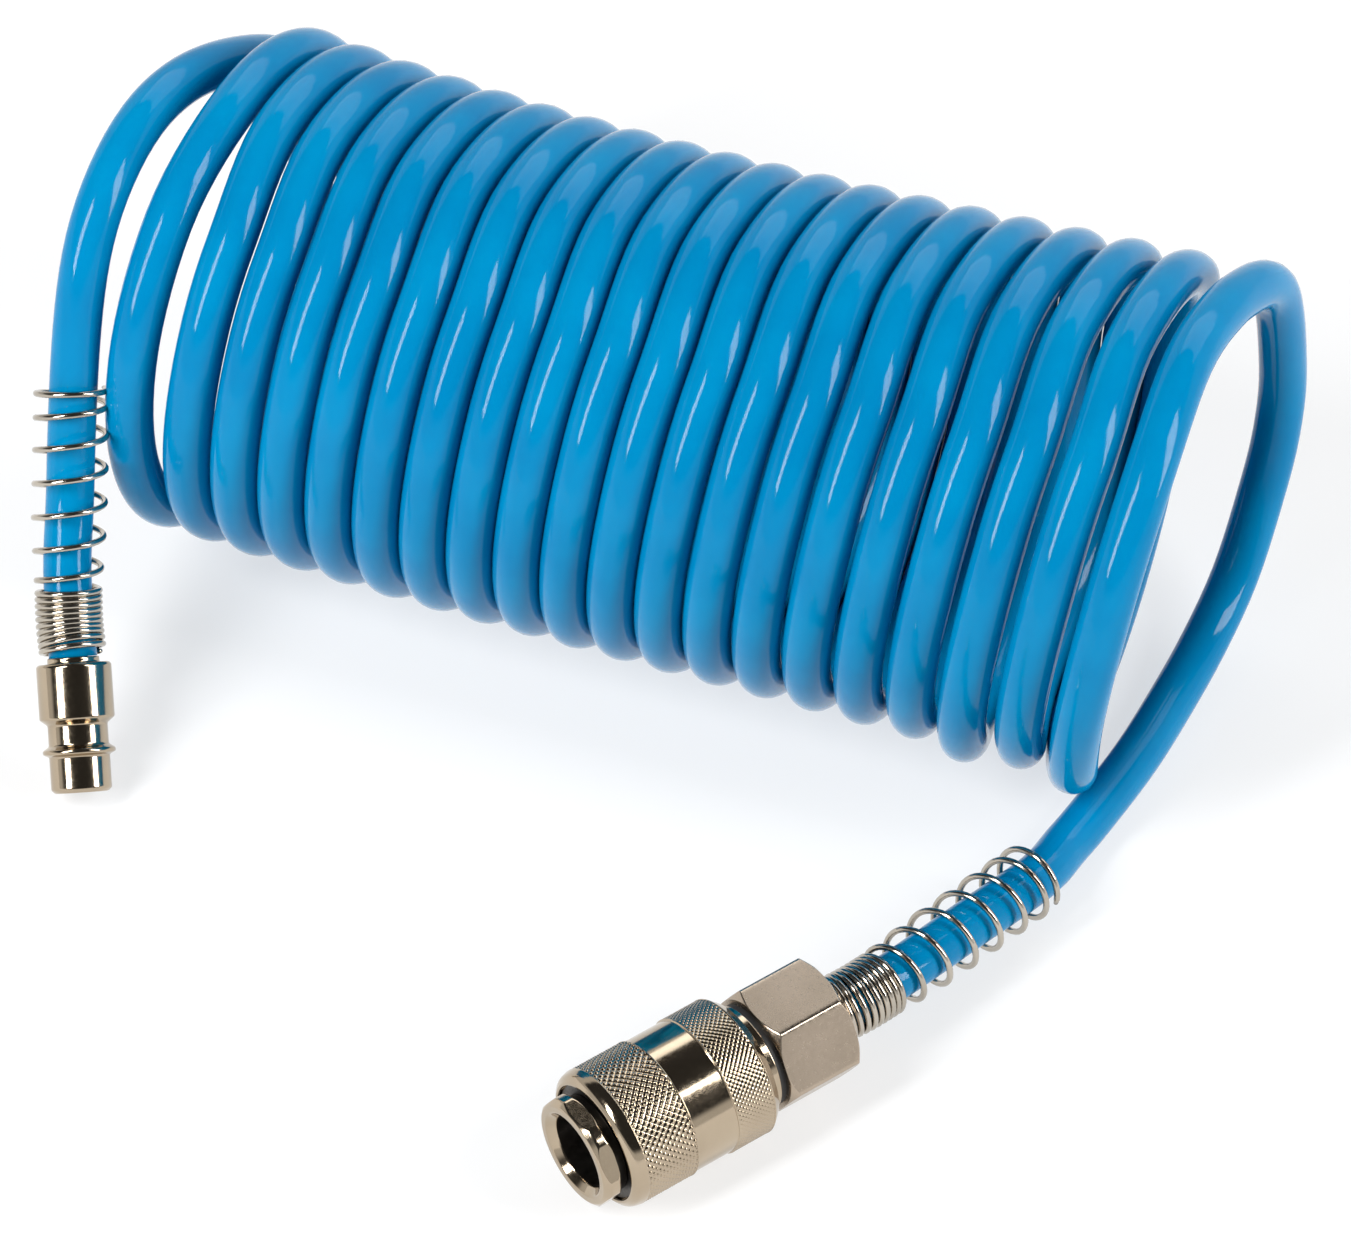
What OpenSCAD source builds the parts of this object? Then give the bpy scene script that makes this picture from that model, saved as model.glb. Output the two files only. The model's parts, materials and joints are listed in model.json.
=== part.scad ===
// Coiled air hose: a spiral of flexible tube with a quick-connect plug on one
// end and a quick-connect coupler on the other, each with a kink spring.
// The coil lies along X, the plug stands nose down in front of its left end
// and the coupler lies in front of its right end. Millimetres, +Z up.

/* [Hose] */
// Outside diameter of the tube
hose_od = 8; // [7.6:0.1:8]
// Bore of the tube
hose_id = 5; // [4.9:0.1:5.4]
// Radius of a turn, to the middle of the tube
coil_r = 39; // [38:0.5:39]
// Number of turns that lie side by side
coil_turns = 20; // [16:1:20]
// Length of the coil, from the first turn's middle to the last one's
coil_len = 156.6; // [154:0.2:160]

/* [Kink springs] */
// Wire diameter
kink_wire_d = 1; // [0.8:0.1:1]
// Close-wound turns, which grip the end of the hose
kink_closed_turns = 10; // [8:1:10]
// Open turns, which guard the bend
kink_open_turns = 7; // [5:1:8]
// Outside diameter of the close-wound turns
kink_closed_od = 11.2; // [11:0.1:11.4]
// Outside diameter of the last open turn
kink_open_od = 12.6; // [12:0.1:12.8]
// Length of the close-wound stretch
kink_closed_len = 11; // [10.5:0.1:11.5]
// Length of the open stretch
kink_open_len = 34; // [33:0.5:38]

/* [Plug] */
// Diameter of the sealing tip
tip_d = 10; // [9.8:0.1:10]
// Length of the sealing tip
tip_len = 6; // [5.6:0.1:6.2]
// Diameter of the locking collar
collar_d = 12; // [11.8:0.1:12]
// Diameter of the groove that the balls drop into
groove_d = 9.9; // [9.6:0.1:9.9]
// Diameter of the plug's body
plug_body_d = 12.4; // [12.1:0.1:12.8]
// Length of the whole plug in front of the hose
plug_len = 22.3; // [21.8:0.1:22.8]

/* [Coupler] */
// Length from the mouth to the back of the hexagon
coupler_len = 48; // [47.5:0.1:48.5]
// Hexagon across its flats
hex_af = 19; // [18:0.5:19.5]
// Length of the hexagon
hex_len = 13.5; // [12.5:0.1:13.5]
// Diameter of the knurled bands of the sleeve
sleeve_d = 23.5; // [23.2:0.1:23.6]
// Diameter of the plain band between them
plain_band_d = 22.9; // [22.5:0.1:23]
// Bore that takes a plug's collar
mouth_bore_d = 12.2; // [12.2:0.05:12.3]
// Bore that takes a plug's tip
seal_bore_d = 10.2; // [10.15:0.05:10.3]
// How far the sleeve is pulled back to let a plug go
sleeve_travel = 2.5; // [2:0.1:2.5]
// Number of locking balls
ball_count = 6; // [6]
// Diameter of a locking ball
ball_d = 3.2; // [3:0.1:3.2]

/* [Hidden] */
$fn = 96;

hose_r = hose_od / 2;
coil_axis_z = coil_r + hose_r;
coil_pitch = coil_len / (coil_turns - 1);

// Where things stand. The first turn's middle is at coil_x0, and the coil's
// axis is at coil_y, coil_axis_z over the floor.
coil_x0 = -78.9;
coil_y = 45.7;

// Plug: the middle of its end face, and the way from there to the hose
plug_tip = [-74.9, -34.3, 3.4];
plug_tilt = 47.4;
plug_heading = 114.9;
// Coupler: the middle of its mouth, and the heading from there to the hose
coupler_mouth = [29.6, -84, sleeve_d / 2];
coupler_heading = 55;

// Way of a plug or coupler's axis in the room, for a tilt off +Z and a heading
function axis_way(tilt, heading) =
    [sin(tilt) * cos(heading), sin(tilt) * sin(heading), cos(tilt)];
plug_way = axis_way(plug_tilt, plug_heading);
coupler_way = axis_way(90, coupler_heading);

// Route of the free hose from the plug up to the coil
plug_route = [
    plug_tip + plug_len * plug_way,
    plug_tip + (plug_len + 14) * plug_way,
    [-88.7, -1.5, 36.8],
    [-90.9, 7.6, 53],
    [-91.6, 13.4, 65],
    [-91.7, 17.8, 73.4],
    [-91.4, 22.9, 79.3],
    [-90.9, 37.3, 84.4],
    [-89.9, 45.8, 84.4],
    [-88.1, 57.3, 81.3],
    [-86.5, 65.5, 76.6]
];
// Route of the free hose from the coil round and down to the coupler
coupler_route = [
    [86.4, 45.7, 82.2],
    [88.7, 62.8, 80.8],
    [91.5, 77.8, 70.2],
    [92.9, 84.7, 47],
    [93.2, 83.7, 33],
    [92.6, 78.7, 22],
    [91.6, 69.3, 11.6],
    [89.9, 57.7, 6],
    [88.1, 44.7, 4.1],
    [86.1, 30.3, 4.1],
    [82.9, 15.8, 4.1],
    [80.9, 7.8, 4.4],
    [79.1, -1.7, 6.6],
    [72.1, -18.2, 9.7],
    coupler_mouth + (coupler_len + 13) * coupler_way,
    coupler_mouth + coupler_len * coupler_way
];

// Kink springs: each one's axis is a straight chord of the hose inside it
plug_kink_start = plug_tip + (plug_len + 0.2) * plug_way;
plug_kink_end = [-91.1, 7.5, 52.3];
coupler_kink_start = coupler_mouth + (coupler_len + 0.9) * coupler_way;
coupler_kink_end = [78.5, -3.7, 7.9];

// Plug, along its axis from the tip
plug_collar_z = tip_len + 1.8;
plug_groove_z = plug_collar_z + 3.4;
plug_body_z = plug_groove_z + 1;
plug_neck_d = 8.6;
plug_neck_z = plug_len - 1;
stem_r = 2.35;
stem_bore_r = 1.6;
stem_len = 13;
tip_chamfer = 0.6;

// Coupler, along its axis from the mouth
nose_len = 3;
sleeve_z = 4;
sleeve_lip = 2.2;
front_knurl_len = 9.6;
plain_len = 7.5;
rear_knurl_len = 6.9;
skirt_len = 1.5;
front_knurl_z = sleeve_z + sleeve_lip;
plain_z = front_knurl_z + front_knurl_len;
rear_knurl_z = plain_z + plain_len;
skirt_z = rear_knurl_z + rear_knurl_len;
sleeve_end_z = skirt_z + skirt_len;
hex_z = coupler_len - hex_len;
barrel_r = 8.2;
guide_r = 10.15;
shaft_r = 9;
chamber_r = 6.3;
thread_r = 7;
mouth_bore_r = mouth_bore_d / 2;
seal_bore_r = seal_bore_d / 2;
mouth_wall_z = [1.2, 5.2];
// How much wider the bore is behind its guiding wall
mouth_relief = 0.4;
ball_z = 7.6;
ball_r = ball_d / 2;
// How far a locked ball stands into the bore, and how far it draws back
ball_reach = 0.9;
ball_out = ball_reach + 0.05;
ball_seat_r = mouth_bore_r - ball_reach + ball_r;
ball_slope = ball_out / sleeve_travel;
// Land inside the sleeve that holds the balls in, with a ramp in front of it
land_r = ball_seat_r + ball_r * sqrt(1 + ball_slope * ball_slope) + 0.12;
land_z = 5.6;
land_end_z = 10.2;
recess_r = 9.95;
sleeve_bore_r = 10.4;
ring_z = 4.6;
ring_t = 0.8;
ring_out_r = 9.7;
spring_stop_z = 24;
seal_groove_z = 12.4;
seal_section_r = 1;
seat_z = 18.6;
seat_r = 4.3;
poppet_head_r = 5.6;
poppet_head_len = 3;
valve_seal_r = 0.6;
thread_end_z = 43.5;
washer_t = 1;

// ---- helpers ----

// Puts a shape drawn up +Z from the origin at a point, along a way
module stand_at(point, way) {
    tilt = acos(way[2] / norm(way));
    heading = atan2(way[1], way[0]);
    translate(point)
        rotate([0, tilt, heading])
            children();
}

module in_plug() {
    stand_at(plug_tip, plug_way)
        children();
}

module in_coupler() {
    stand_at(coupler_mouth, coupler_way)
        children();
}

// Solid of revolution about +Z from its outline as [radius, z] points
module turned(outline) {
    rotate_extrude()
        polygon(outline);
}

module hex_prism(af, h) {
    cylinder(r = af / sqrt(3), h = h, $fn = 6);
}

// Point of a smooth curve through the points p, where t runs from 0 to the
// number of stretches between them
function along(p, t) =
    let (
        last = len(p) - 2,
        i = min(floor(t), last),
        u = t - i,
        a = i > 0 ? p[i - 1] : 2 * p[0] - p[1],
        b = p[i],
        c = p[i + 1],
        d = i < last ? p[i + 2] : 2 * p[last + 1] - p[last]
    )
    0.5 * (2 * b + (c - a) * u + (2 * a - 5 * b + 4 * c - d) * u * u
        + (3 * b - a - 3 * c + d) * u * u * u);

function unit(v) = v / norm(v);

// Faces that join ring i to ring i + 1, for rings of n points
function wall(rings, n, start, inside) = [
    for (i = [0 : rings - 2]) for (j = [0 : n - 1])
        let (
            a = start + i * n + j,
            b = start + i * n + (j + 1) % n,
            c = start + (i + 1) * n + (j + 1) % n,
            d = start + (i + 1) * n + j
        )
        each inside ? [[a, b, c], [a, c, d]] : [[d, c, b], [d, b, a]]
];

// Ring of n points about a point of a route, square to it
function ring_points(p, way, r, n) =
    let (
        side = unit(cross(way, [0.31, 0.17, 0.93])),
        top = cross(side, way)
    )
    [for (j = [0 : n - 1]) p + r * cos(360 * j / n) * side + r * sin(360 * j / n) * top];

// Tube with a bore, swept along the smooth curve through a route
module hose_along(route, per_stretch) {
    n = 12;
    stretches = len(route) - 1;
    rings = stretches * per_stretch + 1;
    step = 1 / per_stretch;
    mid = [for (i = [0 : rings - 1]) along(route, i * step)];
    ways = [
        for (i = [0 : rings - 1])
            unit(mid[min(i + 1, rings - 1)] - mid[max(i - 1, 0)])
    ];
    outer = [for (i = [0 : rings - 1]) each ring_points(mid[i], ways[i], hose_r, n)];
    inner_r = hose_id / 2 / cos(180 / n);
    inner = [for (i = [0 : rings - 1]) each ring_points(mid[i], ways[i], inner_r, n)];
    base = rings * n;
    last = (rings - 1) * n;
    ends = [
        for (j = [0 : n - 1])
            let (k = (j + 1) % n)
            each [
                [j, k, base + k],
                [j, base + k, base + j],
                [last + k, last + j, base + last + j],
                [last + k, base + last + j, base + last + k]
            ]
    ];
    polyhedron(
        points = concat(outer, inner),
        faces = concat(wall(rings, n, 0, false), wall(rings, n, base, true), ends),
        convexity = 8
    );
}

// Wire wound about +Z: steps is a list of [angle, radius, height]
module wound_wire(steps, wire_r) {
    n = 6;
    rings = len(steps);
    pts = [
        for (s = steps) for (j = [0 : n - 1])
            let (
                r = s[1] + wire_r * cos(360 * j / n),
                z = s[2] + wire_r * sin(360 * j / n)
            )
            [r * cos(s[0]), r * sin(s[0]), z]
    ];
    caps = [
        [for (j = [0 : n - 1]) j],
        [for (j = [0 : n - 1]) (rings - 1) * n + n - 1 - j]
    ];
    polyhedron(points = pts, faces = concat(wall(rings, n, 0, false), caps), convexity = 10);
}

// Plain pressure spring about +Z, from z0 to z1 over its wire
module pressure_spring(mean_r, wire_r, z0, z1, turns) {
    per_turn = 18;
    count = turns * per_turn;
    wound_wire(
        [
            for (i = [0 : count])
                [360 * i / per_turn, mean_r, z0 + wire_r + (z1 - z0 - 2 * wire_r) * i / count]
        ],
        wire_r
    );
}

// Kink spring up +Z from its closed end: close-wound, then open and wider
module kink_spring() {
    per_turn = 16;
    wire_r = kink_wire_d / 2;
    closed = kink_closed_turns * per_turn;
    open = kink_open_turns * per_turn;
    closed_r = kink_closed_od / 2 - wire_r;
    widen = (kink_open_od - kink_closed_od) / 2;
    wound_wire(
        [
            for (i = [0 : closed + open])
                let (t = max(0, i - closed) / open)
                [
                    360 * i / per_turn,
                    closed_r + widen * t,
                    wire_r + min(i / closed, 1) * (kink_closed_len - wire_r)
                        + t * (kink_open_len - wire_r)
                ]
        ],
        wire_r
    );
}

// ---- hose ----

// The wound part, as one solid of its outer shape: the turns' rounded backs
// on a sleeve that weighs what the tube in them does
module hose_coil() {
    sleeve_in_r = coil_r - 0.8;
    band_out_r = coil_r + 1.6;
    color("deepskyblue")
        translate([coil_x0, coil_y, coil_axis_z])
            rotate([0, 90, 0])
                rotate_extrude($fn = 180)
                    union() {
                        translate([sleeve_in_r, 0])
                            square([band_out_r - sleeve_in_r, coil_len]);
                        intersection() {
                            for (i = [0 : coil_turns - 1])
                                translate([coil_r, i * coil_pitch])
                                    circle(r = hose_r, $fn = 48);
                            translate([sleeve_in_r, -hose_r])
                                square([hose_od, coil_len + hose_od]);
                        }
                    }
}

module hose_tail_plug() {
    color("deepskyblue")
        hose_along(plug_route, 3);
}

module hose_tail_coupler() {
    color("deepskyblue")
        hose_along(coupler_route, 2);
}

// ---- plug end ----

module plug_nipple() {
    tip_r = tip_d / 2;
    collar_r = collar_d / 2;
    body_r = plug_body_d / 2;
    neck_r = plug_neck_d / 2;
    color("tan")
        in_plug()
            difference() {
                turned([
                    [0, 0],
                    [tip_r - tip_chamfer, 0],
                    [tip_r, tip_chamfer],
                    [tip_r, tip_len],
                    [collar_r, tip_len + 0.5],
                    [collar_r, tip_len + 1.1],
                    [groove_d / 2, plug_collar_z],
                    [groove_d / 2, plug_groove_z],
                    [body_r, plug_body_z],
                    [body_r, plug_neck_z - 0.4],
                    [body_r - 0.4, plug_neck_z],
                    [neck_r, plug_neck_z],
                    [neck_r, plug_len - 0.05],
                    [stem_r, plug_len - 0.05],
                    [stem_r, plug_len + stem_len - 1],
                    [stem_r - 0.4, plug_len + stem_len],
                    [0, plug_len + stem_len]
                ]);
                translate([0, 0, -1])
                    cylinder(r = stem_bore_r, h = plug_len + stem_len + 2);
                translate([0, 0, -1])
                    cylinder(r = 3.6, h = plug_neck_z - 3);
            }
}

module plug_kink_spring() {
    color("silver")
        stand_at(plug_kink_start, plug_kink_end - plug_kink_start)
            kink_spring();
}

// ---- coupler end ----

module coupler_kink_spring() {
    color("silver")
        stand_at(coupler_kink_start, coupler_kink_end - coupler_kink_start)
            kink_spring();
}

module nose_ring() {
    intersection() {
        hex_prism(17.6, nose_len);
        turned([
            [0, 0],
            [8.5, 0],
            [9.45, 0.9],
            [9.45, nose_len - 0.5],
            [9, nose_len],
            [0, nose_len]
        ]);
    }
}

module ball_hole(i) {
    rotate([0, 0, 360 * i / ball_count + 30])
        translate([mouth_bore_r - 2, 0, ball_z])
            rotate([0, 90, 0])
                cylinder(r = ball_r + 0.1, h = 6);
}

module coupler_body() {
    color("tan")
        in_coupler()
            difference() {
                union() {
                    nose_ring();
                    turned([
                        [0, 1],
                        [barrel_r, 1],
                        [barrel_r, spring_stop_z],
                        [guide_r, spring_stop_z],
                        [guide_r, spring_stop_z + 4],
                        [shaft_r, spring_stop_z + 4],
                        [shaft_r, hex_z - washer_t],
                        [thread_r, hex_z - washer_t],
                        [thread_r, thread_end_z - 0.3],
                        [0, thread_end_z - 0.3]
                    ]);
                }
                // mouth, from its lead-in to the seal
                turned([
                    [0, -1],
                    [7.3, -1],
                    [7.3, 0],
                    [mouth_bore_r, mouth_wall_z[0]],
                    [mouth_bore_r, mouth_wall_z[1]],
                    [mouth_bore_r + mouth_relief, mouth_wall_z[1]],
                    [mouth_bore_r + mouth_relief, seal_groove_z],
                    [0, seal_groove_z]
                ]);
                translate([0, 0, seal_groove_z - 0.01])
                    cylinder(r = seal_bore_r + 1.8, h = 2 * seal_section_r + 0.11);
                cylinder(r = seal_bore_r, h = seat_z - 1.4);
                cylinder(r = seat_r, h = seat_z + 1);
                translate([0, 0, seat_z])
                    cylinder(r = chamber_r, h = thread_end_z);
                for (i = [0 : ball_count - 1])
                    ball_hole(i);
                // groove for the retaining ring
                translate([0, 0, ring_z])
                    difference() {
                        cylinder(r = barrel_r + 2, h = ring_t);
                        cylinder(r = barrel_r - 0.5, h = ring_t);
                    }
            }
}

module coupler_adapter() {
    color("tan")
        in_coupler()
            difference() {
                union() {
                    translate([0, 0, hex_z])
                        intersection() {
                            hex_prism(hex_af, hex_len);
                            turned([
                                [0, 0],
                                [hex_af / 2 + 0.1, 0],
                                [hex_af / 2 + 1.6, 1.2],
                                [hex_af / 2 + 1.6, hex_len - 1.2],
                                [hex_af / 2 + 0.1, hex_len],
                                [0, hex_len]
                            ]);
                        }
                    cylinder(r = stem_r, h = coupler_len + stem_len - 1);
                    translate([0, 0, coupler_len + stem_len - 1])
                        cylinder(r1 = stem_r, r2 = stem_r - 0.4, h = 1);
                }
                translate([0, 0, -1])
                    cylinder(r = stem_bore_r, h = coupler_len + stem_len + 2);
                translate([0, 0, -1])
                    cylinder(r = thread_r + 0.05, h = thread_end_z + 1);
            }
}

module release_sleeve() {
    out_r = sleeve_d / 2;
    plain_r = plain_band_d / 2;
    skirt_r = out_r - 1.2;
    color("tan")
        in_coupler()
            turned([
                [recess_r, sleeve_z],
                [out_r - 1.5, sleeve_z],
                [out_r - 0.4, sleeve_z + 0.8],
                [out_r, front_knurl_z],
                [out_r, plain_z - 0.3],
                [plain_r, plain_z],
                [plain_r, rear_knurl_z],
                [out_r, rear_knurl_z + 0.3],
                [out_r, skirt_z],
                [skirt_r, sleeve_end_z],
                [sleeve_bore_r, sleeve_end_z],
                [sleeve_bore_r, land_end_z],
                [land_r, land_end_z],
                [land_r, ball_z],
                [land_r + ball_slope * (ball_z - land_z), land_z],
                [recess_r, land_z]
            ]);
}

module retaining_ring() {
    color("gray")
        in_coupler()
            translate([0, 0, ring_z + 0.05])
                difference() {
                    cylinder(r = ring_out_r, h = ring_t - 0.1);
                    translate([0, 0, -1])
                        cylinder(r = barrel_r - 0.45, h = ring_t + 2);
                    translate([0, -1, -1])
                        cube([12, 2, ring_t + 2]);
                }
}

module sleeve_spring() {
    color("silver")
        in_coupler()
            pressure_spring(9.3, 0.5, land_end_z + 0.05, spring_stop_z - 0.05, 5);
}

module locking_ball(i) {
    color("silver")
        in_coupler()
            rotate([0, 0, 360 * i / ball_count + 30])
                translate([ball_seat_r, 0, ball_z])
                    sphere(r = ball_r);
}

module locking_ball_1() { locking_ball(0); }
module locking_ball_2() { locking_ball(1); }
module locking_ball_3() { locking_ball(2); }
module locking_ball_4() { locking_ball(3); }
module locking_ball_5() { locking_ball(4); }
module locking_ball_6() { locking_ball(5); }

module mouth_seal() {
    color("black")
        in_coupler()
            translate([0, 0, seal_groove_z + seal_section_r + 0.05])
                rotate_extrude()
                    translate([seal_bore_r + 0.75, 0])
                        circle(r = seal_section_r, $fn = 32);
}

module body_seal() {
    color("black")
        in_coupler()
            translate([0, 0, hex_z - washer_t + 0.02])
                difference() {
                    cylinder(r = shaft_r - 0.3, h = washer_t - 0.04);
                    translate([0, 0, -1])
                        cylinder(r = thread_r + 0.05, h = washer_t + 2);
                }
}

module valve_poppet() {
    head_z = seat_z + 0.7;
    color("tan")
        in_coupler()
            difference() {
                turned([
                    [0, 14.2],
                    [3.2, 14.2],
                    [3.6, 14.6],
                    [3.6, head_z],
                    [poppet_head_r, head_z],
                    [poppet_head_r, head_z + poppet_head_len],
                    [3.2, head_z + poppet_head_len],
                    [3.2, head_z + poppet_head_len + 2],
                    [0, head_z + poppet_head_len + 2]
                ]);
                translate([0, 0, 14])
                    cylinder(r = 2.4, h = 3.6);
                for (i = [0 : 3])
                    rotate([0, 0, 90 * i])
                        translate([0, 0, 16.6])
                            rotate([0, 90, 0])
                                cylinder(r = 0.9, h = 6);
            }
}

module valve_seal() {
    color("black")
        in_coupler()
            translate([0, 0, seat_z + 0.05])
                difference() {
                    cylinder(r = poppet_head_r, h = valve_seal_r);
                    translate([0, 0, -1])
                        cylinder(r = 3.65, h = valve_seal_r + 2);
                }
}

module valve_spring() {
    color("silver")
        in_coupler()
            pressure_spring(4.6, 0.4, seat_z + 0.75 + poppet_head_len, thread_end_z - 0.35, 8);
}

hose_coil();
hose_tail_plug();
hose_tail_coupler();
plug_nipple();
plug_kink_spring();
coupler_kink_spring();
coupler_body();
coupler_adapter();
release_sleeve();
retaining_ring();
sleeve_spring();
locking_ball_1();
locking_ball_2();
locking_ball_3();
locking_ball_4();
locking_ball_5();
locking_ball_6();
mouth_seal();
body_seal();
valve_poppet();
valve_seal();
valve_spring();
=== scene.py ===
"""Looks of the coiled air hose: camera, studio, the real hose with its helix, the
wound springs, the knurled coupler and the turned plug, with their materials."""

import json

import bpy
import numpy as np
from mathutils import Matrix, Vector


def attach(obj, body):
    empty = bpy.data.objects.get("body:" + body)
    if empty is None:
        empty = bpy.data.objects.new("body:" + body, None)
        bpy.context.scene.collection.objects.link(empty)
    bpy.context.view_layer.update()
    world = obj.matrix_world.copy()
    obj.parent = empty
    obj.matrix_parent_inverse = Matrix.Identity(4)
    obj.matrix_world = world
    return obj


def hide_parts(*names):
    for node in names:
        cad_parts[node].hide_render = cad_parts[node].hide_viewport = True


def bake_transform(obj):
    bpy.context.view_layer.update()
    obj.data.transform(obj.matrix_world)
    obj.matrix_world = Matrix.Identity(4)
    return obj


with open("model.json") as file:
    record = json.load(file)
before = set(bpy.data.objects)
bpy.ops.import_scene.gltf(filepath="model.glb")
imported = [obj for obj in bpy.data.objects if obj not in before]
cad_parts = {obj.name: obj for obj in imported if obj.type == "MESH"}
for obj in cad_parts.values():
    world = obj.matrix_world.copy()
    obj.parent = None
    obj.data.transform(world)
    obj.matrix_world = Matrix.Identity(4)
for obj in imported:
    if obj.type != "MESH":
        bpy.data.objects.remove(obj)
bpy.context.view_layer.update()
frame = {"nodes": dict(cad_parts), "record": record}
MM = 0.001

# ---- sizes and places, in millimetres, with the driving ones as in the CAD model ----

HOSE_R = 4.0
COIL_R = 39.0
COIL_Y = 45.7
COIL_TURNS = 20
# Pitch of the turns where they lie tight, how much looser each end is, and the power
# by which the right end loosens
TIGHT_PITCH = 8.1
TIGHT_TURN = 9.0
LOOSE_LEFT = 0.6
LOOSE_RIGHT = 1.75
LOOSENING = 1.7
FIRST_TOP_X = -86.1
# The helix takes over from the first route this far past the top of its first turn
COIL_START = np.radians(60)
# Points on the helix per turn, and sides of the hose
HELIX_STEPS = 72
HOSE_SIDES = 28
# Where the coil is about slimmest along X, the reach over which its turns change from
# there, and the share of it at which they stop changing to the left
WAIST_X = 7.1
WAIST_REACH = 80
ACROSS_LEAST = -1.05
# Where a turn is tucked back, in degrees past its top: start and length of each fade
TUCK_SPAN = ((45, 50), (180, 60))
# How far the upper fronts lean to the right and the first one to the left, and where,
# in shares of a turn past its top
SWAY = 1.7
FIRST_SWAY = 0.9
SWAY_SPAN = ((0.62, 0.22), (0.9, 0.1))
# How far the feet of two turns slide to the front, and where, in turns past the first top
SLUMP = 3.0
SLUMP_REACH = 0.35
SLUMPED_FEET = (17.5, 19.5)

PLUG_TIP = np.array([-74.9, -34.3, 3.4])
PLUG_TILT, PLUG_HEADING = 47.4, 114.9
PLUG_LEN = 22.3
MOUTH = np.array([29.6, -84.0, 11.75])
COUPLER_HEADING = 55.0
COUPLER_LEN = 48.0


def way_of(tilt, heading):
    """The direction of an axis tilted off +Z and turned to a heading, in degrees."""
    t, h = np.radians(tilt), np.radians(heading)
    return np.array([np.sin(t) * np.cos(h), np.sin(t) * np.sin(h), np.cos(t)])


PLUG_WAY = way_of(PLUG_TILT, PLUG_HEADING)
COUPLER_WAY = way_of(90.0, COUPLER_HEADING)

# Route of the free hose from the plug up to the coil
PLUG_ROUTE = [
    PLUG_TIP + PLUG_LEN * PLUG_WAY,
    PLUG_TIP + (PLUG_LEN + 14) * PLUG_WAY,
    (-88.7, -1.5, 36.8),
    (-90.9, 7.6, 53),
    (-91.6, 13.4, 65),
    (-91.7, 17.8, 73.4),
    (-91.4, 22.9, 79.3),
    (-90.9, 37.3, 84.4),
    (-89.9, 45.8, 84.4),
    (-88.1, 57.3, 81.3),
    (-86.5, 65.5, 76.6),
]
# Route of the free hose from the coil's last top round and down to the coupler
COUPLER_ROUTE = [
    (88.7, 62.8, 80.8),
    (91.5, 77.8, 70.2),
    (92.9, 84.7, 47),
    (93.2, 83.7, 33),
    (92.6, 78.7, 22),
    (91.6, 69.3, 11.6),
    (89.9, 57.7, 6),
    (88.1, 44.7, 4.1),
    (86.1, 30.3, 4.1),
    (82.9, 15.8, 4.1),
    (80.9, 7.8, 4.4),
    (79.1, -1.7, 6.6),
    (72.1, -18.2, 9.7),
    MOUTH + (COUPLER_LEN + 13) * COUPLER_WAY,
    MOUTH + COUPLER_LEN * COUPLER_WAY,
]

# Kink springs: wire, a little thicker than in CAD so that the closed turns meet, and
# turns, closed and then open and wider
KINK_WIRE_R = 0.53
KINK_CLOSED_TURNS = 10
KINK_OPEN_TURNS = 7
KINK_CLOSED_LEN = 11.0
KINK_CLOSED_R = 5.1
KINK_OPEN_R = 5.8
KINK_STEPS = 36
KINK_SIDES = 10
PLUG_KINK_GAP = 0.2
COUPLER_KINK_GAP = 0.3
PLUG_KINK_END = np.array([-91.1, 7.5, 52.3])
COUPLER_KINK_END = np.array([78.5, -3.7, 7.9])

# Plug, along its axis from the tip
TIP_R = 5.0
STEM_R = 2.35
STEM_BORE_R = 1.6
STEM_LEN = 13.0

# Coupler, along its axis from the mouth
HEX_AF = 19.0
HEX_LEN = 13.5
NOSE_AF = 17.6
THREAD_R = 7.0
THREAD_END = 43.2
BARREL_R = 8.2
SLEEVE_R = 11.75
PLAIN_R = 11.45
SLEEVE_START, SLEEVE_END = 4.0, 31.7
FRONT_KNURL = (6.2, 15.6)
REAR_KNURL = (23.5, 30.2)
BALL_COUNT = 6
BALL_R = 1.6
BALL_Z = 7.6
BALL_HOLE_SPAN = (5.2, 9)
BALL_HOLE_SIDES = 32
# Painted shade, as dark metal: behind the mouth's lead-in, and from the nose to the spring stop
LEAD_IN = 1.25
LEAD_IN_R = 7.35
SHADED_SPAN = (2.95, 28.2)
SHADED_R = BARREL_R + 0.9


# ---- camera, in metres ----

EYE = (0.2350, -0.6116, 0.7355)
AIM = (0.0167, -0.0007, 0.043)
LENS = 158.4

camera = bpy.data.objects.new("camera", bpy.data.cameras.new("camera"))
bpy.context.scene.collection.objects.link(camera)
bpy.context.scene.camera = camera
camera.location = EYE
look = Vector(AIM) - camera.location
camera.rotation_mode = "QUATERNION"
camera.rotation_quaternion = look.to_track_quat("-Z", "Y")
camera.data.lens = LENS
camera.data.clip_start = 0.01
camera.data.clip_end = 20


# ---- geometry helpers ----


def new_mesh(name, verts, faces, material, smooth=True):
    """A mesh object from points in millimetres."""
    mesh = bpy.data.meshes.new(name)
    mesh.from_pydata([tuple(v) for v in np.asarray(verts) * MM], [], faces)
    mesh.update()
    mesh.shade_smooth() if smooth else mesh.shade_flat()
    piece = bpy.data.objects.new(name, mesh)
    piece.data.materials.append(material)
    bpy.context.scene.collection.objects.link(piece)
    return piece


def unit(v):
    return v / np.linalg.norm(v)


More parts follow.
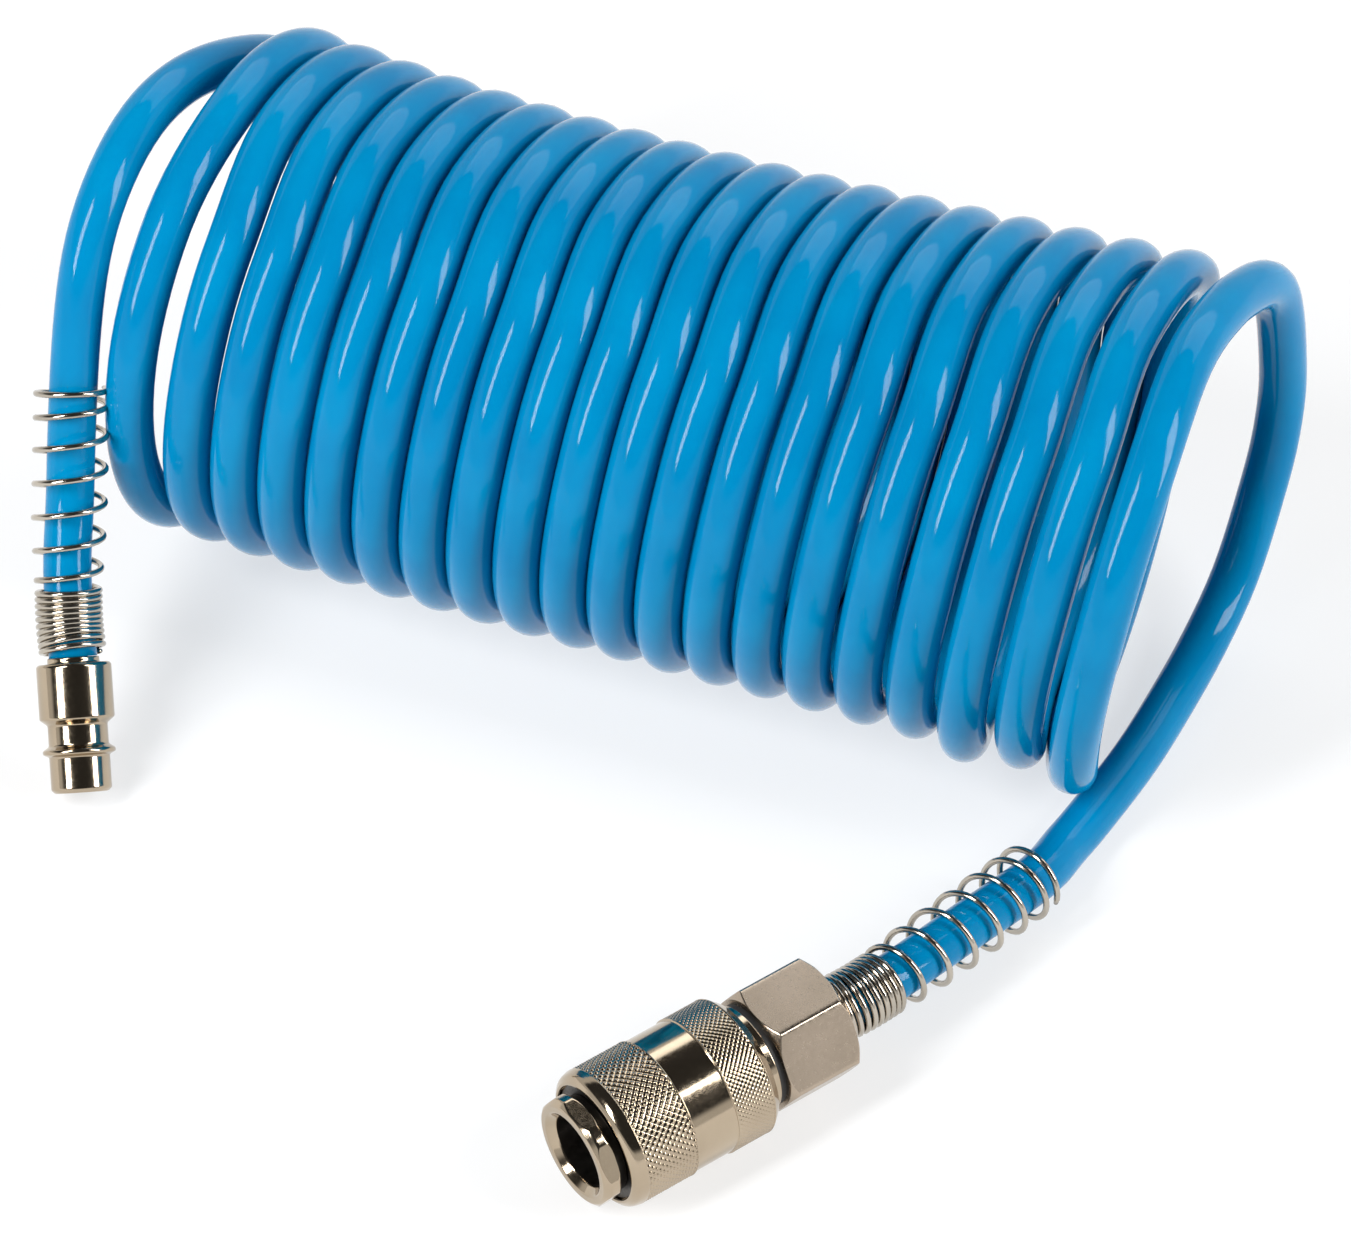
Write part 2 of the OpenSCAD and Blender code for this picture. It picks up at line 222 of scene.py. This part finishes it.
def smooth_line(points, step):
    """Points about step apart on a Catmull-Rom curve through the given ones."""
    p = [np.asarray(q, float) for q in points]
    p = [2 * p[0] - p[1]] + p + [2 * p[-1] - p[-2]]
    line = []
    for a, b, c, d in zip(p, p[1:], p[2:], p[3:]):
        count = max(2, int(np.ceil(np.linalg.norm(c - b) / step)))
        for u in np.arange(count) / count:
            line.append(
                0.5
                * (
                    2 * b
                    + (c - a) * u
                    + (2 * a - 5 * b + 4 * c - d) * u**2
                    + (3 * b - a - 3 * c + d) * u**3
                )
            )
    line.append(p[-2])
    return np.array(line)


def line_frames(line):
    """The line's direction and two more square to it at each point, without twist."""
    ways = np.gradient(line, axis=0)
    ways /= np.linalg.norm(ways, axis=1)[:, None]
    side = unit(np.cross(ways[0], (0.31, 0.17, 0.93)))
    sides = []
    for way in ways:
        side = unit(side - way * (side @ way))
        sides.append(side)
    sides = np.array(sides)
    return ways, sides, np.cross(ways, sides)


def grid_faces(rows, cols, start=0):
    """Quads of a closed wall of rows rings with cols points each."""
    faces = []
    for i in range(rows - 1):
        for j in range(cols):
            k = (j + 1) % cols
            a, b = start + i * cols, start + (i + 1) * cols
            faces.append((a + j, a + k, b + k, b + j))
    return faces


def tube(name, line, radius, cols, material, round_ends=True):
    """A round bar or wire along a line; its ends are domed where round_ends is set."""
    _, sides, tops = line_frames(line)
    turn = np.linspace(0, 2 * np.pi, cols, endpoint=False)
    radii = np.full(len(line), radius)
    if round_ends:
        radii[0] = radii[-1] = radius * 0.7
    ring = np.cos(turn)[:, None, None] * sides + np.sin(turn)[:, None, None] * tops
    verts = (line + ring * radii[:, None]).transpose(1, 0, 2).reshape(-1, 3)
    faces = grid_faces(len(line), cols)
    last = (len(line) - 1) * cols
    faces.append(tuple(range(cols))[::-1])
    faces.append(tuple(last + j for j in range(cols)))
    return new_mesh(name, verts, faces, material)


def eased(outline, radius, grain=4):
    """A closed outline of (along, out) points with each corner rounded, by a radius of
    its own if it names one, and a point close beside each rounding that keeps the
    shading of the long sides flat."""
    rounding = [q[2] if len(q) > 2 else radius for q in outline]
    outline = [np.array(q[:2], float) for q in outline]
    befores, afters = outline[-1:] + outline, outline[1:] + outline[:1]
    made = []
    for before, corner, after, radius in zip(befores, outline, afters, rounding):
        back, ahead = before - corner, after - corner
        cut = min(radius, 0.4 * np.linalg.norm(back), 0.4 * np.linalg.norm(ahead))
        first, last = corner + unit(back) * cut, corner + unit(ahead) * cut
        made.append(first + unit(back) * cut * 0.2)
        for u in np.linspace(0, 1, grain):
            made.append((1 - u) ** 2 * first + 2 * u * (1 - u) * corner + u**2 * last)
        made.append(last + unit(ahead) * cut * 0.2)
    return made


def finer(outline, step, span=(-1e9, 1e9)):
    """The outline with points no further apart than step, where it runs within span."""
    made = []
    for a, b in zip(outline, outline[1:] + outline[:1]):
        count = 1
        if min(a[0], b[0]) > span[0] - 1e-6 and max(a[0], b[0]) < span[1] + 1e-6:
            count = max(1, int(np.ceil(np.linalg.norm(b - a) / step - 1e-6)))
        made += [a + (b - a) * k / count for k in range(count)]
    return made


def turned(name, outline, cols, start, way, look, shape=None):
    """A ring-shaped solid turned about an axis; shape may change the radii of a row
    as a function of its place along the axis, its radius and the turn."""
    side = unit(np.cross(way, (0, 0, 1)))
    top = np.cross(side, way)
    turn = np.linspace(0, 2 * np.pi, cols, endpoint=False)
    spoke = np.cos(turn)[:, None] * side + np.sin(turn)[:, None] * top
    rows = []
    for along, out in outline:
        radii = shape(along, out, turn) if shape else np.full(cols, out)
        rows.append(start + way * along + spoke * radii[:, None])
    faces = grid_faces(len(rows) + 1, cols)
    count = len(rows) * cols
    faces = [tuple(v % count for v in face) for face in faces]
    return new_mesh(name, np.vstack(rows), faces, look)


def hexagon(across_flats, turn, crisp=70):
    """Radius of a hexagon with slightly rounded corners at each turn, a flat on top."""
    total = sum(
        np.maximum(np.cos(turn - np.pi / 2 - k * np.pi / 3), 0) ** crisp for k in range(6)
    )
    return across_flats / 2 / total ** (1 / crisp)


def lesser(a, b, blend=0.12):
    """The smaller of two radii, rounded where they cross."""
    h = np.clip(0.5 + 0.5 * (b - a) / blend, 0, 1)
    return b + (a - b) * h - blend * h * (1 - h)


# ---- materials ----


def material(name, build):
    made = bpy.data.materials.new(name)
    made.use_nodes = True
    nodes, links = made.node_tree.nodes, made.node_tree.links
    shader = nodes["Principled BSDF"]
    build(nodes, links, shader)
    return made


def noise(nodes, links, scale, detail=3.0, stretch=(1, 1, 1)):
    """Noise in object space, in cycles per metre; stretch slows it along an axis."""
    place = nodes.new("ShaderNodeTexCoord")
    mapping = nodes.new("ShaderNodeMapping")
    mapping.inputs["Scale"].default_value = stretch
    made = nodes.new("ShaderNodeTexNoise")
    made.inputs["Scale"].default_value = scale
    made.inputs["Detail"].default_value = detail
    links.new(place.outputs["Object"], mapping.inputs["Vector"])
    links.new(mapping.outputs["Vector"], made.inputs["Vector"])
    return made


def spread(nodes, links, source, low, high):
    """The source, from 0.3 to 0.7, taken to the range low to high."""
    made = nodes.new("ShaderNodeMapRange")
    made.inputs["From Min"].default_value = 0.3
    made.inputs["From Max"].default_value = 0.7
    made.inputs["To Min"].default_value = low
    made.inputs["To Max"].default_value = high
    links.new(source, made.inputs["Value"])
    return made.outputs["Result"]


def two_tone(nodes, links, source, first, second):
    ramp = nodes.new("ShaderNodeValToRGB")
    ramp.color_ramp.elements[0].position = 0.35
    ramp.color_ramp.elements[1].position = 0.65
    ramp.color_ramp.elements[0].color = (*first, 1)
    ramp.color_ramp.elements[1].color = (*second, 1)
    links.new(source, ramp.inputs["Fac"])
    return ramp.outputs["Color"]


def bump(nodes, links, shader, source, distance, strength=1.0):
    made = nodes.new("ShaderNodeBump")
    made.inputs["Distance"].default_value = distance
    made.inputs["Strength"].default_value = strength
    links.new(source, made.inputs["Height"])
    links.new(made.outputs["Normal"], shader.inputs["Normal"])


def hose_look(nodes, links, shader):
    cloud = noise(nodes, links, 60, 4)
    colour = two_tone(nodes, links, cloud.outputs["Fac"], (0.0, 0.185, 0.40), (0.0, 0.215, 0.44))
    links.new(colour, shader.inputs["Base Color"])
    fine = noise(nodes, links, 900, 3)
    links.new(spread(nodes, links, fine.outputs["Fac"], 0.06, 0.11), shader.inputs["Roughness"])
    shader.inputs["IOR"].default_value = 1.45
    shader.inputs["Specular IOR Level"].default_value = 0.16
    shader.inputs["Subsurface Weight"].default_value = 0.1
    shader.inputs["Subsurface Radius"].default_value = (0.2, 0.6, 1.0)
    shader.inputs["Subsurface Scale"].default_value = 0.002
    wave = noise(nodes, links, 140, 2)
    bump(nodes, links, shader, wave.outputs["Fac"], 0.0002, 0.25)


def metal_look(first, second, rough, scratch):
    def build(nodes, links, shader):
        shader.inputs["Metallic"].default_value = 1.0
        cloud = noise(nodes, links, 90, 4)
        colour = two_tone(nodes, links, cloud.outputs["Fac"], first, second)
        links.new(colour, shader.inputs["Base Color"])
        fine = noise(nodes, links, 1500, 4)
        links.new(
            spread(nodes, links, fine.outputs["Fac"], rough * 0.8, rough * 1.3),
            shader.inputs["Roughness"],
        )
        grain = noise(nodes, links, 2500, 2)
        bump(nodes, links, shader, grain.outputs["Fac"], 0.00002, scratch)

    return build


def rubber_look(nodes, links, shader):
    cloud = noise(nodes, links, 400, 3)
    colour = two_tone(nodes, links, cloud.outputs["Fac"], (0.012, 0.012, 0.013), (0.03, 0.03, 0.03))
    links.new(colour, shader.inputs["Base Color"])
    links.new(spread(nodes, links, cloud.outputs["Fac"], 0.45, 0.6), shader.inputs["Roughness"])
    bump(nodes, links, shader, cloud.outputs["Fac"], 0.00005, 0.5)


HOSE = material("hose", hose_look)
NICKEL = material("nickel_plate", metal_look((0.42, 0.34, 0.245), (0.47, 0.385, 0.28), 0.11, 0.004))
SATIN = material("nickel_satin", metal_look((0.40, 0.33, 0.255), (0.45, 0.37, 0.29), 0.22, 0.008))
WIRE = material("spring_steel", metal_look((0.42, 0.38, 0.32), (0.52, 0.47, 0.40), 0.14, 0.05))
STEEL = material("ball_steel", metal_look((0.70, 0.70, 0.71), (0.76, 0.76, 0.77), 0.08, 0.05))
BRASS = material("bare_brass", metal_look((0.62, 0.44, 0.20), (0.72, 0.53, 0.27), 0.25, 0.3))
# Dark metal: the retaining ring's dark finish, and painted shade in the bore and behind the nose
DARK_STEEL_AND_SHADE = material("dark_steel_and_painted_shade", metal_look((0.05, 0.045, 0.04), (0.09, 0.08, 0.07), 0.35, 0.05))
RUBBER = material("seal_rubber", rubber_look)

CAD_LOOKS = {
    "hose": HOSE,
    "nickel_plate": SATIN,
    "bare_brass": BRASS,
    "spring_steel": WIRE,
    "ball_steel": STEEL,
    "seal_rubber": RUBBER,
}
for part in frame["record"]["subparts"]:
    mesh = frame["nodes"][part["node"]].data
    mesh.materials.clear()
    mesh.materials.append(CAD_LOOKS[part["material_slot"]])
# Dark metal on the retaining ring and the sleeve spring: the ring's dark finish, and painted shade
# in the gap behind the nose
for node in ("retaining_ring", "sleeve_spring"):
    frame["nodes"][node].data.materials[0] = DARK_STEEL_AND_SHADE


# ---- the hose ----


def pitch_at(turn):
    """Distance to the next turn: tight in the middle and looser to both ends."""
    if turn < TIGHT_TURN:
        return TIGHT_PITCH + LOOSE_LEFT * (TIGHT_TURN - turn) / TIGHT_TURN
    share = (turn - TIGHT_TURN) / (COIL_TURNS - TIGHT_TURN)
    return TIGHT_PITCH + LOOSE_RIGHT * share**LOOSENING


def step_up(value):
    """From 0 to 1, easing in and out."""
    value = min(max(value, 0), 1)
    return value * value * (3 - 2 * value)


def hump(place, rise, fall):
    """From 0 up to 1 and down again, each fade given by its start and its length."""
    return step_up((place - rise[0]) / rise[1]) * (1 - step_up((place - fall[0]) / fall[1]))


def tucked(turn):
    """How far a turn is set back to the left behind the coil: there the turns stay
    tight, and only their tops and fronts fan out towards the right end."""
    loose = COIL_TURNS - TIGHT_TURN
    power = LOOSENING + 1
    fanned = LOOSE_RIGHT * loose / power * (max(turn - TIGHT_TURN, 0) / loose) ** power
    return fanned * hump(360 * (turn % 1), *TUCK_SPAN)


def swayed(turn):
    """How far the upper front of a turn leans to the right. The first turn leans to
    the left instead, so that it stands a little apart from the second."""
    lean = SWAY if turn >= 1 else -FIRST_SWAY
    return lean * hump(turn % 1, *SWAY_SPAN)


def slumped(turn):
    """How far the foot of two of the last turns slides to the front."""
    return SLUMP * sum(step_up(1 - abs(turn - foot) / SLUMP_REACH) for foot in SLUMPED_FEET)


def helix_line():
    """Middle of the wound hose, from COIL_START past its first top to its last one. It
    rises at the front, goes over the top and comes down at the back."""
    steps = COIL_TURNS * HELIX_STEPS
    x = FIRST_TOP_X
    line = []
    for i in range(steps + 1):
        turn = i / HELIX_STEPS
        angle = np.pi / 2 + 2 * np.pi * turn
        across = max((x - WAIST_X) / WAIST_REACH, ACROSS_LEAST)
        # The coil is widest at its ends, and its left end lies a little further back
        radius = COIL_R + 0.45 * across + 1.3 * across**2
        bow = 1.1 * across**2 - 1.8 * across**3
        # The fronts lie to the left of the backs, and the tops to the right of the feet
        lean = (0.45 + 0.4 * across) * np.sin(angle) - (1.5 - 0.3 * across) * np.cos(angle)
        if angle >= np.pi / 2 + COIL_START:
            line.append(
                (
                    x + lean - tucked(turn) + swayed(turn),
                    COIL_Y + bow - slumped(turn) - radius * np.cos(angle),
                    HOSE_R + radius + radius * np.sin(angle),
                )
            )
        x += pitch_at(turn) / HELIX_STEPS
    return np.array(line)


def settled(line, rounds):
    """The line with its bends evened out, its ends kept."""
    line = line.copy()
    for _ in range(rounds):
        line[1:-1] += 0.25 * (line[:-2] - 2 * line[1:-1] + line[2:])
    return line


HOSE_STEP = 3.4
coil = helix_line()
# Each tail's curve runs on into a few points of the helix, so that they join smoothly
first_tail = smooth_line(PLUG_ROUTE + [coil[0], coil[4], coil[8]], HOSE_STEP)
last_tail = smooth_line([coil[-9], coil[-5], coil[-1]] + COUPLER_ROUTE, HOSE_STEP)
hose_line = np.vstack([first_tail, coil[9:-9], last_tail])
lead = len(first_tail)
tail = len(hose_line) - len(last_tail)
# Points that are evened out: from among the kink spring's open turns to a little past
# the first tail's join, and on both sides of the last tail's
JOIN = 16
EVENED_FROM = 11
for join, rounds in (
    (slice(EVENED_FROM, lead + JOIN), 16),
    (slice(tail - JOIN, tail + JOIN), 6),
):
    hose_line[join] = settled(hose_line[join], rounds)

hose = tube("hose", hose_line, HOSE_R, HOSE_SIDES, HOSE, round_ends=False)
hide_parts("hose_coil", "hose_tail_plug", "hose_tail_coupler")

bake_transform(hose)

# ---- kink springs ----


def open_pitch(share):
    """How far apart the open turns are along the spring: close again at the last one."""
    return 1 - 0.72 * abs(2 * share - 0.92) ** 4


def kink_spring(name, start, way, end, body, node):
    """Wire wound about the fitting's axis and then about a curve to the far end."""
    line = smooth_line([start, start + KINK_CLOSED_LEN * way, end], 1.0)
    line_run = np.concatenate([[0], np.cumsum(np.linalg.norm(np.diff(line, axis=0), axis=1))])
    _, sides, tops = line_frames(line)
    count = (KINK_CLOSED_TURNS + KINK_OPEN_TURNS) * KINK_STEPS
    turn = np.arange(count + 1) / KINK_STEPS
    opened = np.clip((turn - KINK_CLOSED_TURNS) / KINK_OPEN_TURNS, 0, 1)
    grown = np.cumsum(np.where(opened > 0, open_pitch(opened), 0))
    closed_along = np.minimum(turn / KINK_CLOSED_TURNS, 1) * (KINK_CLOSED_LEN - KINK_WIRE_R)
    along = KINK_WIRE_R + closed_along
    along += grown / grown[-1] * (line_run[-1] - KINK_CLOSED_LEN)
    radii = KINK_CLOSED_R + (KINK_OPEN_R - KINK_CLOSED_R) * np.minimum(opened * 3, 1)

    def at(rows):
        return np.stack([np.interp(along, line_run, rows[:, k]) for k in range(3)], axis=1)

    angle = turn * 2 * np.pi
    wire = at(line) + radii[:, None] * (
        np.cos(angle)[:, None] * at(sides) + np.sin(angle)[:, None] * at(tops)
    )
    spring = tube(name, wire, KINK_WIRE_R, KINK_SIDES, WIRE)
    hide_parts(node)
    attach(spring, body)
    return spring


plug_spring = kink_spring(
    "kink_spring_plug",
    PLUG_TIP + (PLUG_LEN + PLUG_KINK_GAP) * PLUG_WAY,
    PLUG_WAY,
    PLUG_KINK_END,
    "plug_end",
    "plug_kink_spring",
)
coupler_spring = kink_spring(
    "kink_spring_coupler",
    MOUTH + (COUPLER_LEN + COUPLER_KINK_GAP) * COUPLER_WAY,
    COUPLER_WAY,
    COUPLER_KINK_END,
    "coupler_end",
    "coupler_kink_spring",
)

# ---- plug ----


def plug():
    """The turned nipple: tip, collar, groove, body, neck and the stem in the hose."""
    outline = [
        (0, 3.6),
        (0, TIP_R - 0.6),
        (0.6, TIP_R),
        (6, TIP_R),
        (6.5, 6),
        (7.1, 6),
        (7.8, 4.95),
        (11.2, 4.95),
        (12.2, 6.2),
        (20.9, 6.2),
        (21.3, 5.8),
        (21.3, 4.3),
        (PLUG_LEN - 0.05, 4.3),
        (PLUG_LEN - 0.05, STEM_R),
        (PLUG_LEN + STEM_LEN - 1, STEM_R),
        (PLUG_LEN + STEM_LEN, STEM_R - 0.4),
        (PLUG_LEN + STEM_LEN, STEM_BORE_R),
        (18.3, STEM_BORE_R),
        (18.3, 3.6),
    ]
    return turned("plug", eased(outline, 0.25), 144, PLUG_TIP, PLUG_WAY, NICKEL)


nipple = plug()
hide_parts("plug_nipple")
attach(nipple, "plug_end")

# ---- coupler ----


def adapter_shape(along, out, turn):
    """Hexagonal outside, with the turned chamfer at both of its ends."""
    radii = np.full(len(turn), out)
    if out <= THREAD_R + 1:
        return radii
    return lesser(radii, hexagon(HEX_AF, turn))


def adapter():
    """The hexagonal end piece that screws on the body, with the stem for the hose."""
    front = COUPLER_LEN - HEX_LEN
    corner = HEX_AF / 2 + 1.6
    outline = [
        (front, THREAD_R + 0.05),
        (front, HEX_AF / 2 + 0.1),
        (front + 1.2, corner),
        (COUPLER_LEN - 1.2, corner),
        (COUPLER_LEN, HEX_AF / 2 + 0.1),
        (COUPLER_LEN, STEM_R),
        (COUPLER_LEN + STEM_LEN - 1, STEM_R),
        (COUPLER_LEN + STEM_LEN, STEM_R - 0.4),
        (COUPLER_LEN + STEM_LEN, STEM_BORE_R),
        (THREAD_END, STEM_BORE_R),
        (THREAD_END, THREAD_R + 0.05),
    ]
    outline = eased(outline, 0.2)
    outline = finer(outline, 0.08, (front, front + 1.3))
    outline = finer(outline, 0.08, (COUPLER_LEN - 1.3, COUPLER_LEN))
    return turned("adapter_hex", outline, 360, MOUTH, COUPLER_WAY, SATIN, adapter_shape)


def body_shape(along, out, turn):
    """The nose is hexagonal outside; the barrel behind it is round."""
    radii = np.full(len(turn), out)
    if along > 3.2 or out < BARREL_R:
        return radii
    return lesser(radii, hexagon(NOSE_AF, turn))


def paint_shade_inside(made):
    """Painted shade: dark metal on the faces behind the lead-in of the mouth and behind the nose.
    """
    made.data.materials.append(DARK_STEEL_AND_SHADE)
    for face in made.data.polygons:
        off = np.array(face.center) / MM - MOUTH
        along = off @ COUPLER_WAY
        out = np.linalg.norm(off - along * COUPLER_WAY)
        behind_nose = SHADED_SPAN[0] < along < SHADED_SPAN[1]
        if along > LEAD_IN and (out < LEAD_IN_R or behind_nose) and out < SHADED_R:
            face.material_index = 1


def ball_pegs():
    """Round pegs where the balls' holes go through the barrel, to be cut out of it."""
    side = unit(np.cross(COUPLER_WAY, (0, 0, 1)))
    top = np.cross(side, COUPLER_WAY)
    verts, faces = [], []
    cols = BALL_HOLE_SIDES
    for i in range(BALL_COUNT):
        angle = 2 * np.pi * i / BALL_COUNT + np.pi / 6
        out = np.cos(angle) * side + np.sin(angle) * top
        around = np.cross(COUPLER_WAY, out)
        start = len(verts)
        for reach in BALL_HOLE_SPAN:
            for k in range(cols):
                turn = 2 * np.pi * k / cols
                ring = (BALL_R + 0.1) * (np.cos(turn) * COUPLER_WAY + np.sin(turn) * around)
                verts.append(MOUTH + COUPLER_WAY * BALL_Z + out * reach + ring)
        faces += grid_faces(2, cols, start)
        faces.append(tuple(start + k for k in range(cols))[::-1])
        faces.append(tuple(start + cols + k for k in range(cols)))
    return new_mesh("holes", verts, faces, NICKEL)


def body():
    """Nose, barrel, spring stop and shaft, with the mouth and the valve's chamber."""
    outline = [
        (0, 7.3),
        (0, 8.5),
        (0.9, 9.45),
        (2.5, 9.45),
        (3, 9),
        (3, BARREL_R),
        (4.55, BARREL_R),
        (4.6, BARREL_R - 0.5),
        (5.35, BARREL_R - 0.5),
        (5.4, BARREL_R),
        (24, BARREL_R),
        (24, 10.15),
        (28, 10.15),
        (28, 9),
        (33.5, 9),
        (33.5, THREAD_R),
        (THREAD_END - 0.3, THREAD_R),
        (THREAD_END - 0.3, 6.3),
        (18.6, 6.3),
        (18.6, 4.3),
        (17.2, 4.3),
        (17.2, 5.1),
        (14.5, 5.1),
        (14.5, 6.9),
        (12.4, 6.9),
        (12.4, 6.5),
        (5.2, 6.5),
        (5.2, 6.1),
        (1.2, 6.1),
    ]
    outline = eased(outline, 0.22)
    outline = finer(outline, 0.1, (0, 3.1))
    made = turned("coupler_body_turned", outline, 288, MOUTH, COUPLER_WAY, NICKEL, body_shape)
    holes = ball_pegs()
    cut = made.modifiers.new("ball_holes", "BOOLEAN")
    cut.object = holes
    cut.solver = "EXACT"
    bpy.context.view_layer.update()
    done = bpy.data.meshes.new_from_object(
        made.evaluated_get(bpy.context.evaluated_depsgraph_get())
    )
    made.modifiers.clear()
    made.data = done
    bpy.data.objects.remove(holes)
    # Painted shade: dark metal inside the mouth and behind the nose
    paint_shade_inside(made)
    return made


def knurl(along, turn, span, count, depth):
    """How deep a diamond knurl cuts at each turn: two crossing sets of grooves."""
    pitch = 2 * np.pi * SLEEVE_R / count
    lift = (along - span[0]) / pitch
    grooves = []
    for way in (1, -1):
        phase = (turn * count / (2 * np.pi) + way * lift) % 1
        grooves.append(np.clip(1.15 * np.abs(2 * phase - 1), 0, 1))
    return depth * np.maximum(*grooves)


KNURL_FRONT_COUNT = 60
KNURL_REAR_COUNT = 80
KNURL_DEPTH = 0.3


def sleeve_shape(along, out, turn):
    radii = np.full(len(turn), out)
    if out > SLEEVE_R - 0.01 and FRONT_KNURL[0] <= along <= FRONT_KNURL[1]:
        return radii - knurl(along, turn, FRONT_KNURL, KNURL_FRONT_COUNT, KNURL_DEPTH)
    if out > SLEEVE_R - 0.01 and REAR_KNURL[0] <= along <= REAR_KNURL[1]:
        return radii - knurl(along, turn, REAR_KNURL, KNURL_REAR_COUNT, 0.7 * KNURL_DEPTH)
    return radii


def sleeve():
    """The release sleeve: rounded lip, two knurled bands and a plain one, and inside
    it the recess, the ramp and the land that holds the balls in."""
    outline = [
        (SLEEVE_START, 9.95),
        (SLEEVE_START, SLEEVE_R - 1.4, 0.4),
        (SLEEVE_START + 0.7, SLEEVE_R - 0.4, 0.6),
        (FRONT_KNURL[0] - 0.1, SLEEVE_R, 0.5),
        (FRONT_KNURL[1] + 0.1, SLEEVE_R),
        (15.8, PLAIN_R),
        (23.3, PLAIN_R),
        (REAR_KNURL[0] - 0.1, SLEEVE_R),
        (REAR_KNURL[1] + 0.1, SLEEVE_R),
        (SLEEVE_END, SLEEVE_R - 1.2),
        (SLEEVE_END, 10.4),
        (10.2, 10.4),
        (10.2, 8.65),
        (BALL_Z, 8.65),
        (5.6, 9.4),
        (5.6, 9.95),
    ]
    outline = eased(outline, 0.12)
    outline = finer(outline, 2 * np.pi * SLEEVE_R / KNURL_FRONT_COUNT / 8, (6.0, 15.75))
    outline = finer(outline, 2 * np.pi * SLEEVE_R / KNURL_REAR_COUNT / 6, (23.35, 30.4))
    return turned("sleeve_knurled", outline, 480, MOUTH, COUPLER_WAY, NICKEL, sleeve_shape)


hexagon_end = adapter()
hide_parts("coupler_adapter")
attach(hexagon_end, "coupler_end")

barrel = body()
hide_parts("coupler_body")
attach(barrel, "coupler_end")

ring = sleeve()
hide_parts("release_sleeve")
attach(ring, "sleeve")


# ---- studio ----


def area_light(name, place, aim, size, power, colour=(1, 1, 1)):
    data = bpy.data.lights.new(name, "AREA")
    data.shape = "RECTANGLE"
    data.size, data.size_y = size
    data.energy = power
    data.color = colour
    lamp = bpy.data.objects.new(name, data)
    lamp.location = place
    lamp.rotation_mode = "QUATERNION"
    lamp.rotation_quaternion = (Vector(aim) - Vector(place)).to_track_quat("-Z", "Y")
    bpy.context.scene.collection.objects.link(lamp)
    return lamp


# The floor is a lit table, so that it stays pale where the coil shades it
FLOOR_GLOW = 0.62


def floor_look(nodes, links, shader):
    cloud = noise(nodes, links, 3, 2)
    colour = two_tone(nodes, links, cloud.outputs["Fac"], (0.34, 0.34, 0.34), (0.36, 0.36, 0.36))
    links.new(colour, shader.inputs["Base Color"])
    shader.inputs["Roughness"].default_value = 0.95
    shader.inputs["Emission Color"].default_value = (1, 1, 1, 1)
    shader.inputs["Emission Strength"].default_value = FLOOR_GLOW


FLOOR = material("floor", floor_look)
FLOOR_HALF = 2500
FLOOR_DROP = -0.3
floor = new_mesh(
    "floor",
    [
        (x * FLOOR_HALF, y * FLOOR_HALF, FLOOR_DROP)
        for x, y in ((-1, -1), (1, -1), (1, 1), (-1, 1))
    ],
    [(0, 1, 2, 3)],
    FLOOR,
    smooth=False,
)

# How much higher the pale backdrop reaches at the back, where it fades, and how bright
# it and the rest of the room are
BACKDROP_RISE = 0.75
BACKDROP_FADE = (0.14, 0.3)
WORLD_PALE = 0.75
WORLD_DARK = 0.04


def studio_world():
    """Pale all round at eye level and higher up at the back, dark overhead."""
    world = bpy.data.worlds.new("studio")
    world.use_nodes = True
    nodes, links = world.node_tree.nodes, world.node_tree.links
    place = nodes.new("ShaderNodeTexCoord")
    parts = nodes.new("ShaderNodeSeparateXYZ")
    links.new(place.outputs["Generated"], parts.inputs["Vector"])
    back = nodes.new("ShaderNodeMath")
    back.operation = "MAXIMUM"
    back.inputs[1].default_value = 0
    links.new(parts.outputs["Y"], back.inputs[0])
    height = nodes.new("ShaderNodeMath")
    height.operation = "MULTIPLY_ADD"
    height.inputs[1].default_value = -BACKDROP_RISE
    links.new(back.outputs["Value"], height.inputs[0])
    links.new(parts.outputs["Z"], height.inputs[2])
    ramp = nodes.new("ShaderNodeMapRange")
    ramp.interpolation_type = "SMOOTHSTEP"
    ramp.inputs["From Min"].default_value = BACKDROP_FADE[0]
    ramp.inputs["From Max"].default_value = BACKDROP_FADE[1]
    ramp.inputs["To Min"].default_value = WORLD_PALE
    ramp.inputs["To Max"].default_value = WORLD_DARK
    links.new(height.outputs["Value"], ramp.inputs["Value"])
    links.new(ramp.outputs["Result"], nodes["Background"].inputs["Strength"])
    nodes["Background"].inputs["Color"].default_value = (1, 1, 1, 1)
    bpy.context.scene.world = world


studio_world()

MIDST = (0, 0, 0.04)
area_light("softbox_left", (-0.42, -0.62, 0.66), MIDST, (0.22, 0.72), 11.3)
area_light("softbox_right", (1.0, 0.04, 0.64), MIDST, (0.26, 0.85), 10.6)
area_light("softbox_back", (0.1, 1.0, 0.9), MIDST, (1.4, 0.6), 5.3)

bpy.context.scene.view_settings.view_transform = "Standard"
